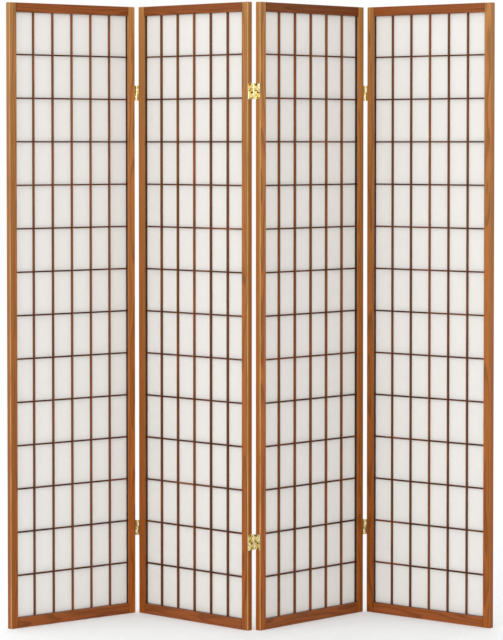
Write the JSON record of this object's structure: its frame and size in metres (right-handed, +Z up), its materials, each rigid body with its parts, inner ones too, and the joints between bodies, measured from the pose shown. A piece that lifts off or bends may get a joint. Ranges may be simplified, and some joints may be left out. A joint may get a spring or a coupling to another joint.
{
  "type": "shoji folding screen",
  "caption": "Free-standing folding room screen: slim wooden panels with a thin grid of strips over white paper, joined by two-way brass hinges so each fold opens either way.",
  "frame": {"origin": "on the floor under the middle of the standing, zigzag screen's box", "axes": "+Z up, +X along the screen from panel 1 to panel 4, +Y from its front (lattice side) to its back (paper side)"},
  "size_m": [1.391, 0.3522, 1.79],
  "materials": {
    "frame_wood": "honey-brown stained softwood, thin satin lacquer",
    "lattice_wood": "dark brown stained wood strips, satin",
    "paper": "matte white fibrous paper",
    "hinge_brass": "bright brass plating",
    "brass_screw": "bright brass plating, cross recess"
  },
  "bodies": {
    "panel_1": {"panel_1_stile_left": "frame_wood", "panel_1_stile_right": "frame_wood", "panel_1_rail_top": "frame_wood", "panel_1_rail_bottom": "frame_wood", "panel_1_lattice_border": "lattice_wood", "panel_1_lattice_uprights": "lattice_wood", "panel_1_lattice_crosses": "lattice_wood", "panel_1_paper": "paper", "panel_1_back_beads": "frame_wood", "fold_1_leaves_left": "hinge_brass", "fold_1_pins_left": "hinge_brass", "fold_1_screws_left": "brass_screw"},
    "panel_2": {"panel_2_stile_left": "frame_wood", "panel_2_stile_right": "frame_wood", "panel_2_rail_top": "frame_wood", "panel_2_rail_bottom": "frame_wood", "panel_2_lattice_border": "lattice_wood", "panel_2_lattice_uprights": "lattice_wood", "panel_2_lattice_crosses": "lattice_wood", "panel_2_paper": "paper", "panel_2_back_beads": "frame_wood", "fold_1_leaves_right": "hinge_brass", "fold_1_pins_right": "hinge_brass", "fold_1_screws_right": "brass_screw", "fold_2_leaves_left": "hinge_brass", "fold_2_pins_left": "hinge_brass", "fold_2_screws_left": "brass_screw"},
    "panel_3": {"panel_3_stile_left": "frame_wood", "panel_3_stile_right": "frame_wood", "panel_3_rail_top": "frame_wood", "panel_3_rail_bottom": "frame_wood", "panel_3_lattice_border": "lattice_wood", "panel_3_lattice_uprights": "lattice_wood", "panel_3_lattice_crosses": "lattice_wood", "panel_3_paper": "paper", "panel_3_back_beads": "frame_wood", "fold_2_leaves_right": "hinge_brass", "fold_2_pins_right": "hinge_brass", "fold_2_screws_right": "brass_screw", "fold_3_leaves_left": "hinge_brass", "fold_3_pins_left": "hinge_brass", "fold_3_screws_left": "brass_screw"},
    "panel_4": {"panel_4_stile_left": "frame_wood", "panel_4_stile_right": "frame_wood", "panel_4_rail_top": "frame_wood", "panel_4_rail_bottom": "frame_wood", "panel_4_lattice_border": "lattice_wood", "panel_4_lattice_uprights": "lattice_wood", "panel_4_lattice_crosses": "lattice_wood", "panel_4_paper": "paper", "panel_4_back_beads": "frame_wood", "fold_3_leaves_right": "hinge_brass", "fold_3_pins_right": "hinge_brass", "fold_3_screws_right": "brass_screw"},
    "fold_1_lower_link": {"fold_1_links_lower": "hinge_brass"},
    "fold_1_upper_link": {"fold_1_links_upper": "hinge_brass"},
    "fold_2_lower_link": {"fold_2_links_lower": "hinge_brass"},
    "fold_2_upper_link": {"fold_2_links_upper": "hinge_brass"},
    "fold_3_lower_link": {"fold_3_links_lower": "hinge_brass"},
    "fold_3_upper_link": {"fold_3_links_upper": "hinge_brass"}
  },
  "joints": [
    {"name": "fold_1_rear_pins", "type": "hinge", "parent": "panel_2", "child": "fold_1_lower_link", "pos_m": [-0.32156, 0.15539, 0.895], "axis": [0, 0, 1], "range_deg": [-180, 0]},
    {"name": "fold_1_front_pins", "type": "hinge", "parent": "fold_1_lower_link", "child": "panel_1", "pos_m": [-0.3356, 0.14059, 0.895], "axis": [0, 0, 1], "range_deg": [-82.8, 97.2]},
    {"name": "fold_1_upper_links", "type": "hinge", "parent": "panel_1", "child": "fold_1_upper_link", "pos_m": [-0.34852, 0.15638, 0.895], "axis": [0, 0, -1], "range_deg": [-180, 0]},
    {"name": "fold_2_front_pins", "type": "hinge", "parent": "panel_2", "child": "fold_2_lower_link", "pos_m": [-0.00483, -0.1733, 0.895], "axis": [0, 0, 1], "range_deg": [-180, 0]},
    {"name": "fold_2_rear_pins", "type": "hinge", "parent": "fold_2_lower_link", "child": "panel_3", "pos_m": [0.00921, -0.1585, 0.895], "axis": [0, 0, 1], "range_deg": [-89.9, 90.1]},
    {"name": "fold_2_upper_links", "type": "hinge", "parent": "panel_3", "child": "fold_2_upper_link", "pos_m": [0.02399, -0.17257, 0.895], "axis": [0, 0, -1], "range_deg": [-180, 0]},
    {"name": "fold_3_front_pins", "type": "hinge", "parent": "panel_3", "child": "fold_3_lower_link", "pos_m": [0.33845, 0.15765, 0.895], "axis": [0, 0, -1], "range_deg": [-86.3, 93.7]},
    {"name": "fold_3_rear_pins", "type": "hinge", "parent": "fold_3_lower_link", "child": "panel_4", "pos_m": [0.35154, 0.1733, 0.895], "axis": [0, 0, -1], "range_deg": [-180, 0]},
    {"name": "fold_3_upper_links", "type": "hinge", "parent": "panel_3", "child": "fold_3_upper_link", "pos_m": [0.32368, 0.17172, 0.895], "axis": [0, 0, -1], "range_deg": [-180, 0]}
  ],
  "couplings": [
    {"joint": "fold_1_upper_links", "follows": "fold_1_rear_pins", "ratio": 1},
    {"joint": "fold_2_upper_links", "follows": "fold_2_front_pins", "ratio": 1},
    {"joint": "fold_3_upper_links", "follows": "fold_3_rear_pins", "ratio": 1}
  ]
}
